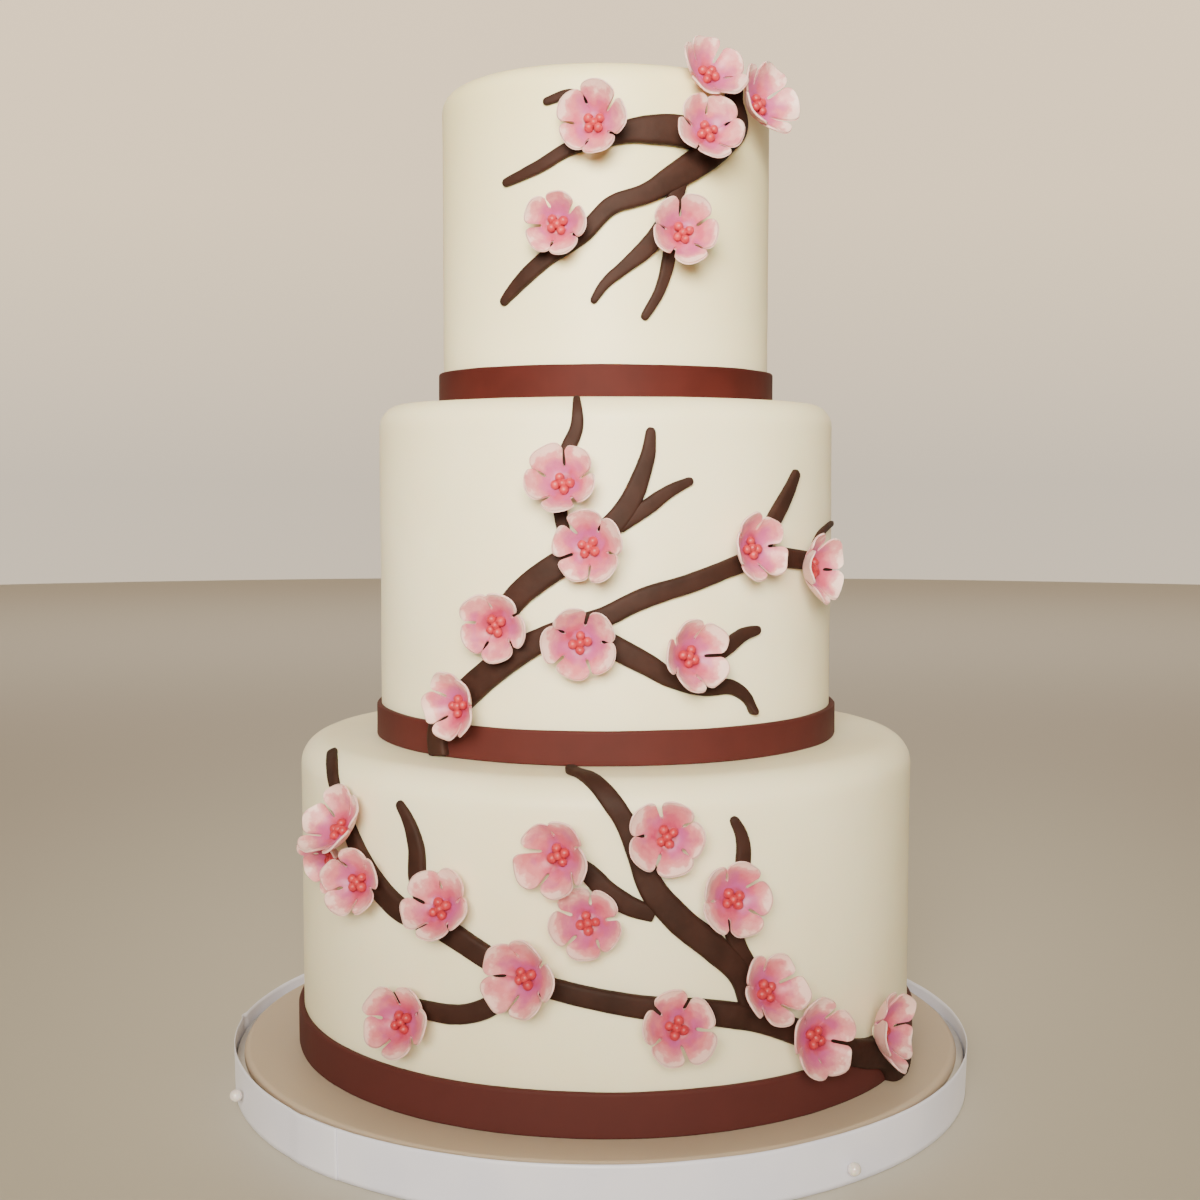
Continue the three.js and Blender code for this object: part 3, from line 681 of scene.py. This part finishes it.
def skin_points(tier, azimuth, rise, lift):
    """Places on a tier's skin: up the wall, round the shoulder, over the top."""
    radius, height, shoulder, _, foot = TIERS[tier]
    wall_top = height - shoulder
    arc = np.clip((rise - wall_top) / shoulder, 0, math.pi / 2)
    inward = np.maximum(0, rise - wall_top - shoulder * math.pi / 2)
    reach = radius - shoulder + (shoulder + lift) * np.cos(arc) - inward
    level = foot + np.minimum(rise, wall_top) + (shoulder + lift) * np.sin(arc)
    angle = np.radians(azimuth)
    return np.stack([CAKE_SHIFT + reach * np.sin(angle), -reach * np.cos(angle), level], -1)


def smooth_route(route, degree, step):
    """Even points along a smooth curve through a route, on the unrolled skin."""
    knots = np.array(route, float) * (degree, 1, 1)
    spans = np.linalg.norm(np.diff(knots[:, :2], axis=0), axis=1)
    along = np.concatenate([[0], np.cumsum(spans)])
    slopes = np.diff(knots, axis=0) / spans[:, None]
    bends = np.vstack([slopes[0], slopes, slopes[-1]])
    weights = np.concatenate([[spans[0]], spans, [spans[-1]]])
    left, right = weights[:-1, None], weights[1:, None]
    tangents = (bends[:-1] * right + bends[1:] * left) / (left + right)
    places = np.linspace(0, along[-1], max(3, int(along[-1] / step)))
    span = np.clip(np.searchsorted(along, places, "right") - 1, 0, len(spans) - 1)
    size = spans[span][:, None]
    t = ((places - along[span])[:, None]) / size
    return (
        (2 * t**3 - 3 * t**2 + 1) * knots[span] + (t**3 - 2 * t**2 + t) * size * tangents[span]
        + (3 * t**2 - 2 * t**3) * knots[span + 1] + (t**3 - t**2) * size * tangents[span + 1]
    )


# Across the branch from one foot over its crown to the other: share of half
# the width, share of the height.
BRANCH_SECTION = [
    (0.97, 0.0), (1.0, 0.25), (1.0, 0.5), (0.97, 0.7), (0.89, 0.86), (0.77, 0.96), (0.6, 1.0),
    (0.3, 1.02), (0.0, 1.03), (-0.3, 1.02), (-0.6, 1.0), (-0.77, 0.96), (-0.89, 0.86), (-0.97, 0.7),
    (-1.0, 0.5), (-1.0, 0.25), (-0.97, 0.0),
]
BRANCH_STEP = 0.8
BRANCH_THINNEST = 1
BRANCH_THICKEN = 0.2
BRANCH_SUNK = 0.35
# Clearance between a branch and the earlier ones that it butts against.
BRANCH_GAP = 0.14
BRANCH_VOXEL = 0.36
# Millimetres of the round tip that its last ring leaves out.
TIP_START = 0.2


def branch_solid(tier, part, grown=0.0):
    radius, _, _, band, _ = TIERS[tier]
    degree = math.radians(1) * radius
    line = smooth_route(BRANCHES[tier][part], degree, BRANCH_STEP)
    heading = np.gradient(line[:, :2], axis=0)
    heading /= np.linalg.norm(heading, axis=1)[:, None]
    sides = len(BRANCH_SECTION) + 2
    rings = []
    steps = np.linalg.norm(np.diff(line[:, :2], axis=0), axis=1)
    to_tip = np.append(np.cumsum(steps[::-1])[::-1], 0) + TIP_START
    for (x, rise, width), (right, up), left_over in zip(line, heading, to_tip):
        tip = math.sqrt(1 - max(0.0, 1 - left_over / (width / 2)) ** 2)
        half = width / 2 * tip + grown
        tall = (BRANCH_THINNEST + BRANCH_THICKEN * width) * (0.4 + 0.6 * tip) + grown
        section = [(half * across, tall * level) for across, level in BRANCH_SECTION]
        below = -BRANCH_SUNK - grown
        section = [*section, (-half * 0.97, below), (half * 0.97, below)]
        across, level = np.array(section).T
        rises = np.maximum(rise - across * right, 0.05)
        over = 1 - np.clip((rises - band - BAND_RAMP) / BAND_RAMP, 0, 1)
        lift = np.where(level > 0, level + over * (BAND_OUT + 0.1), level)
        rings.append(skin_points(tier, (x + across * up) / degree, rises, lift))
    faces = ring_faces(len(rings), sides)
    faces.append(tuple(reversed(range(sides))))
    faces.append(tuple(range((len(rings) - 1) * sides, len(rings) * sides)))
    return mesh_object(f"fondant_branch_{tier}_{part}", np.vstack(rings), faces, BRANCH)


def keep_largest(obj):
    """Deletes all of a mesh but its largest connected piece."""
    shape = bmesh.new()
    shape.from_mesh(obj.data)
    left = set(shape.verts)
    islands = []
    while left:
        queue = [left.pop()]
        island = set(queue)
        while queue:
            for edge in queue.pop().link_edges:
                for vertex in edge.verts:
                    if vertex in left:
                        left.remove(vertex)
                        island.add(vertex)
                        queue.append(vertex)
        islands.append(island)
    islands.sort(key=len)
    for island in islands[:-1]:
        bmesh.ops.delete(shape, geom=list(island), context="VERTS")
    shape.to_mesh(obj.data)
    shape.free()


def add_branches(tier):
    cutters = []
    for part in BRANCHES[tier]:
        obj = branch_solid(tier, part)
        for cutter in cutters:
            cut = obj.modifiers.new("cut", "BOOLEAN")
            cut.operation = "DIFFERENCE"
            cut.solver = "MANIFOLD"
            cut.object = cutter
        modified(obj)
        keep_largest(obj)
        remesh = obj.modifiers.new("remesh", "REMESH")
        remesh.mode = "VOXEL"
        remesh.voxel_size = BRANCH_VOXEL * MM
        smooth = obj.modifiers.new("smooth", "SMOOTH")
        smooth.factor = 0.5
        smooth.iterations = 4
        modified(obj)
        obj.data.materials.clear()
        obj.data.materials.append(BRANCH)
        soften(obj, wide=(7, 0.16), close=(2.2, 0.05))
        shade_smooth(obj.data)
        dress(obj, "branch", f"branch_{tier}_{part}")
        cutter = branch_solid(tier, part, BRANCH_GAP)
        cutter.name = f"cutter_{part}"
        cutters.append(cutter)
    for cutter in cutters:
        bpy.data.objects.remove(cutter)


# Blossoms

# The CAD blossom: share of its radius that is flat, thickness there and at the
# rim, power of its cup, share of the radius where the slits end.
CAD_HEART_SHARE = 0.36
CAD_HEART_THICKNESS = 1.1
CAD_RIM_THICKNESS = 0.7
CAD_CUP_POWER = 1.1
CAD_SLIT_END = 0.62
# The same for the finished one, with half a slit's width.
HEART_SHARE = 0.28
HEART_THICKNESS = 1.0
RIM_THICKNESS = 0.62
CUP_POWER = 1.55
SLIT_END = 0.53
SLIT_HALF = 0.55
PETAL_COLUMNS = 16
HEART_ROWS = [0, 0.16, 0.32, 0.48, 0.64, 0.8, 0.92, 1]
PETAL_ROWS = [0.05, 0.13, 0.26, 0.42, 0.58, 0.74, 0.88, 0.96, 1]
STAMEN_RADIUS = 1.46
STAMEN_RING = 2.2
STAMEN_RISE = 1.7
STAMENS_ROUND = 4
# From the foot of the dab of icing up: radius, share of its depth.
DAB_SECTION = [(0.3, -0.6), (2.3, -0.5), (2.2, 0.0), (2.1, 0.5), (2.3, 0.85), (1.8, 1.0)]
DAB_COLUMNS = 20


def cad_outline(width, seed):
    """The rim points of the CAD blossom in its own frame, for finding its place."""
    points = []
    for petal in range(PETALS):
        size = 1 + 0.05 * vary(seed, petal)
        curl = 0.8 * vary(seed, petal + 10)
        notch = CAD_SLIT_END + 0.05 * vary(seed, petal + 20)
        spots = [(0, notch, 0)]
        spots += [(share, out * size, curl) for share, out in
                  ((0.05, 0.9), (0.24, 0.99), (0.5, 1.02), (0.76, 0.99), (0.95, 0.9))]
        for share, out, bend in spots:
            angle = (petal + share) / PETALS * 2 * math.pi
            flare = (out - CAD_HEART_SHARE) / (1 - CAD_HEART_SHARE)
            thick = CAD_HEART_THICKNESS + (CAD_RIM_THICKNESS - CAD_HEART_THICKNESS) * flare
            top = width * CUP_SHARE * flare**CAD_CUP_POWER + bend * flare**2 + thick
            reach = width / 2 * out
            points.append((reach * math.cos(angle), reach * math.sin(angle), top))
    return np.array(points)


def blossom_place(node, azimuth, tilt, slit, width, seed):
    """(rotation, origin, foot level) of a CAD blossom, in millimetres."""
    bearing, elevation = math.radians(azimuth), math.radians(tilt)
    right = np.array([math.cos(bearing), math.sin(bearing), 0])
    level = math.cos(elevation)
    face = np.array([math.sin(bearing) * level, -math.cos(bearing) * level, math.sin(elevation)])
    up = np.cross(face, right)
    roll = math.radians(slit)
    first = right * math.cos(roll) + up * math.sin(roll)
    second = up * math.cos(roll) - right * math.sin(roll)
    turn = np.stack([first, second, face], -1)
    mesh = NODES[node].data
    places = np.empty(len(mesh.vertices) * 3)
    mesh.vertices.foreach_get("co", places)
    local = (places.reshape(-1, 3) / MM) @ turn
    outline = cad_outline(width, seed)
    shift = local.min(0) - outline.min(0)
    shift[2] = local[:, 2].max() - outline[:, 2].max()
    return turn, turn @ shift, local[:, 2].min() - shift[2]


def petal_grid(width, seed):
    """Underside and inside of a cupped five-petal disc, and its bloom values."""
    rows = len(HEART_ROWS) + len(PETAL_ROWS)
    notch_row = len(HEART_ROWS) - 1
    across = np.sin(np.linspace(-math.pi / 2, math.pi / 2, PETAL_COLUMNS + 1))
    radius = width / 2
    under = np.empty((PETALS, rows, PETAL_COLUMNS + 1, 3))
    inside = np.empty_like(under)
    bloom = np.empty_like(under)
    for petal in range(PETALS):
        following = (petal + 1) % PETALS
        size = 1 + 0.05 * vary(seed, petal)
        curl = 1.1 * vary(seed, petal + 10)
        notches = [SLIT_END + 0.05 * vary(seed, slit + 20) for slit in (petal, following)]
        share = (across + 1) / 2
        notch = notches[0] + (notches[1] - notches[0]) * share
        ruffle = 0.012 * np.sin(across * 5 + seed + petal * 2)
        rim = size * (1.025 - 0.09 * across**2 - 0.09 * across**8) + ruffle
        heart = np.outer(HEART_ROWS, notch)
        outer = notch + np.outer(PETAL_ROWS, rim - notch)
        out = np.vstack([heart, outer])
        beyond = np.clip((out - notch) / (rim - notch), 0, 1)
        mouth = np.sqrt(np.clip(beyond / 0.16, 0, 1))
        rims = [0.3 + 0.5 * vary(seed, slit + 40) for slit in (petal, following)]
        gap = np.where(across < 0, rims[0], rims[1])
        half_gap = mouth * (SLIT_HALF + (gap - SLIT_HALF) * smoothstep(beyond, 0.3, 1))
        lean = np.sign(across) * np.abs(across) ** 3
        angle = math.radians(72) * (petal + share) - lean * half_gap / np.maximum(out * radius, 1)
        flare = np.clip((out - HEART_SHARE) / (1 - HEART_SHARE), 0, None)
        rise = width * CUP_SHARE * 1.04
        spoon = width * 0.036 * (across**2 - 0.35) * flare
        lap = np.where(across < 0, -1, 1) * np.where(gap < 0.1, 0.32, 0)
        lapped = lap * np.abs(across) ** 4 * smoothstep(beyond, 0.1, 0.8)
        ripples = 0.4 * np.sin(across * 4 + vary(seed, petal + 50) * 3) * flare**3
        level = rise * flare**CUP_POWER + curl * flare**2 + spoon + lapped + ripples
        slope = rise * CUP_POWER * np.clip(flare, 1e-3, None) ** (CUP_POWER - 1)
        slope = np.where(flare > 0, slope / (1 - HEART_SHARE) / radius, 0)
        thick = HEART_THICKNESS + (RIM_THICKNESS - HEART_THICKNESS) * np.clip(flare, 0, 1)
        lean_in = 1 / np.sqrt(1 + slope**2)
        reach = out * radius
        inner_reach = reach - thick * slope * lean_in * np.where(out > 0, 1, 0)
        layers = (under, reach, level), (inside, inner_reach, level + thick * lean_in)
        for grid, length, height in layers:
            grid[petal] = np.stack([length * np.cos(angle), length * np.sin(angle), height], -1)
        bloom[petal] = np.stack([out, np.broadcast_to(across, out.shape), np.zeros_like(out)], -1)
    return under, inside, bloom, notch_row


def blossom_faces(rows, columns, notch_row):
    """Point numbers of the grid with the petals joined inwards of the slits."""
    number = np.arange(PETALS * rows * columns).reshape(PETALS, rows, columns)
    for petal in range(PETALS):
        number[petal, : notch_row + 1, -1] = number[(petal + 1) % PETALS, : notch_row + 1, 0]
    number[:, 0, :] = 0
    below = PETALS * rows * columns
    faces = []
    for petal in range(PETALS):
        grid = number[petal]
        for row in range(rows - 1):
            for column in range(columns - 1):
                after = column + 1
                quad = [grid[row, column], grid[row, after], grid[row + 1, after], grid[row + 1, column]]
                quad = list(dict.fromkeys(int(point) for point in quad))
                faces.append(tuple(reversed(quad)))
                faces.append(tuple(point + below for point in quad))
        edge = [int(point) for point in grid[notch_row:, 0]]
        end = [int(point) for point in grid[notch_row:, -1]]
        rim = [int(point) for point in grid[-1]]
        for chain in (edge, rim, end[::-1]):
            for first, second in zip(chain[:-1], chain[1:]):
                faces.append((first, second, second + below, first + below))
    return faces


def ball(centre, radius, seed):
    """Points and faces of a slightly uneven ball."""
    shape = bmesh.new()
    bmesh.ops.create_icosphere(shape, subdivisions=3, radius=radius)
    points = []
    for vertex in shape.verts:
        uneven = noise.noise(vertex.co / radius + Vector((seed, 0, 0)))
        points.append(vertex.co * (1 + 0.05 * uneven))
    faces = [tuple(vertex.index for vertex in face.verts) for face in shape.faces]
    shape.free()
    return np.array(points) + centre, faces


def dab(level, seed):
    """Points and faces of the dab of icing under a blossom."""
    depth = max(0.3, -level) + 0.5
    rings = []
    for index, (reach, share) in enumerate(DAB_SECTION):
        height = 0.6 if share < 0 else 0.3 - share * depth
        for column in range(DAB_COLUMNS):
            angle = column / DAB_COLUMNS * 2 * math.pi
            wave = 1 + 0.12 * noise.noise(Vector((math.cos(angle), math.sin(angle), seed + index * 0.4)))
            rings.append((reach * wave * math.cos(angle), reach * wave * math.sin(angle), height))
    faces = ring_faces(len(DAB_SECTION), DAB_COLUMNS, flipped=True)
    faces.append(tuple(range(DAB_COLUMNS)))
    faces.append(tuple(reversed(range(len(rings) - DAB_COLUMNS, len(rings)))))
    return np.array(rings), faces


def add_blossom(tier, index, azimuth, tilt, slit, width):
    node = f"blossom_{tier}_{index + 1}"
    seed = list(BLOSSOMS).index(tier) * 20 + index + 1
    turn, origin, foot = blossom_place(node, azimuth, tilt, slit, width, seed)
    under, inside, bloom, notch_row = petal_grid(width, seed)
    _, rows, columns, _ = under.shape
    faces = blossom_faces(rows, columns, notch_row)
    points = np.vstack([under.reshape(-1, 3), inside.reshape(-1, 3)])
    back = bloom.copy()
    back[..., 2] = 1
    values = np.vstack([back.reshape(-1, 3), bloom.reshape(-1, 3)])
    used = np.unique([point for face in faces for point in face])
    renumber = np.full(len(points), -1)
    renumber[used] = np.arange(len(used))
    faces = [tuple(int(renumber[point]) for point in face) for face in faces]
    obj = mesh_object(f"sugar_{node}", (points[used] @ turn.T) + origin, faces, PETAL)
    attribute = obj.data.attributes.new("bloom", "FLOAT_VECTOR", "POINT")
    attribute.data.foreach_set("vector", values[used].ravel())
    rounding = obj.modifiers.new("rounding", "SUBSURF")
    rounding.levels = rounding.render_levels = 1
    modified(obj)
    spots = [(0.0, 0.0, 0.15)]
    for step in range(STAMENS_ROUND):
        angle = math.radians(360 / STAMENS_ROUND) * step + 0.25 * vary(seed, step + 30)
        spots.append((STAMEN_RING * math.cos(angle), STAMEN_RING * math.sin(angle), 0.0))
    parts = []
    for number, spot in enumerate(spots):
        radius = STAMEN_RADIUS * (1 + 0.08 * vary(seed, 60 + number))
        parts.append((ball(np.array(spot) + (0, 0, STAMEN_RISE), radius, seed + number), STAMEN))
    if foot < -0.2:
        parts.append((dab(foot, seed), FONDANT))
    extras = []
    for number, ((points, faces), material) in enumerate(parts):
        extras.append(mesh_object(f"part_{number}", (points @ turn.T) + origin, faces, material))
    with bpy.context.temp_override(active_object=obj, selected_editable_objects=[obj, *extras]):
        bpy.ops.object.join()
    dress(obj, "petal", node)


# Stage, lights and camera

FLOOR_RADIUS = 3000
FLOOR_THICKNESS = 2.0
# The studio's light by height, from the horizon up, and by side: it is faint
# behind the camera, full behind the cake, and changes between these two.
SKY = [
    (0.0, (0.95, 0.8, 0.62)), (0.05, (1.1, 0.91, 0.67)), (0.16, (1.42, 1.12, 0.76)),
    (0.27, (1.5, 1.17, 0.79)), (0.5, (0.66, 0.53, 0.39)), (0.9, (0.45, 0.37, 0.28)),
]
SKY_SIDES = (-0.6, 0.8)
SKY_FAINT = 0.15
CAMERA_LENS = 50.25
CAMERA_PLACE = (-0.00006, -0.5821, 0.2065)
CAMERA_DIP = 4.074


def add_stage():
    profile = [(0, -FLOOR_THICKNESS), (1.0, -FLOOR_THICKNESS), (FLOOR_RADIUS, -FLOOR_THICKNESS)]
    profile += [(FLOOR_RADIUS, 0.0), (1.0, 0.0), (0, 0.0)]
    floor = lathe("floor", profile, 96, plain_material("floor", srgb(206, 199, 185), 0.6))
    world = bpy.data.worlds.new("studio")
    bpy.context.scene.world = world
    world.use_nodes = True
    nodes, links = world.node_tree.nodes, world.node_tree.links
    split = nodes.new("ShaderNodeSeparateXYZ")
    links.new(nodes.new("ShaderNodeTexCoord").outputs["Generated"], split.inputs["Vector"])
    upwards = nodes.new("ShaderNodeValToRGB")
    links.new(split.outputs["Z"], upwards.inputs["Fac"])
    elements = upwards.color_ramp.elements
    while len(elements) < len(SKY):
        elements.new(0.5)
    for element, (position, colour) in zip(elements, SKY):
        element.position = position
        element.color = (*colour, 1)
    away = nodes.new("ShaderNodeMapRange")
    away.inputs["From Min"].default_value = SKY_SIDES[0]
    away.inputs["From Max"].default_value = SKY_SIDES[1]
    away.inputs["To Min"].default_value = SKY_FAINT
    links.new(split.outputs["Y"], away.inputs["Value"])
    links.new(upwards.outputs["Color"], nodes["Background"].inputs["Color"])
    links.new(away.outputs["Result"], nodes["Background"].inputs["Strength"])


def add_light(name, place, target, size, power, colour, spread):
    """A rectangular soft light: metres, watts, and its spread in degrees."""
    light = bpy.data.lights.new(name, "AREA")
    light.spread = math.radians(spread)
    light.shape = "RECTANGLE"
    light.size, light.size_y = size
    light.energy = power
    light.color = colour
    obj = linked(name, light)
    obj.location = place
    obj.rotation_euler = (Vector(target) - Vector(place)).to_track_quat("-Z", "Y").to_euler()


def add_camera():
    data = bpy.data.cameras.new("camera")
    data.sensor_fit = "HORIZONTAL"
    data.sensor_width = 36.0
    data.lens = CAMERA_LENS
    data.clip_end = 20.0
    obj = linked("camera", data)
    obj.location = CAMERA_PLACE
    obj.rotation_euler = (math.radians(90 - CAMERA_DIP), 0, 0)
    bpy.context.scene.camera = obj


add_camera()
add_board()
add_ribbon()
add_pins()
for tier_name in TIERS:
    add_tier(tier_name)
    add_band(tier_name)
    add_branches(tier_name)
    for blossom_index, blossom in enumerate(BLOSSOMS[tier_name]):
        add_blossom(tier_name, blossom_index, *blossom)
add_stage()
add_light("window", (-0.07, -0.9, 0.48), (0, 0, 0.265), (0.6, 0.4), 3.3, (1.0, 0.95, 0.78), 44)
add_light("backdrop", (0, 1.7, 1.3), (0, 1.7001, 0), (2.6, 1.4), 5, (1.0, 0.98, 0.96), 96)
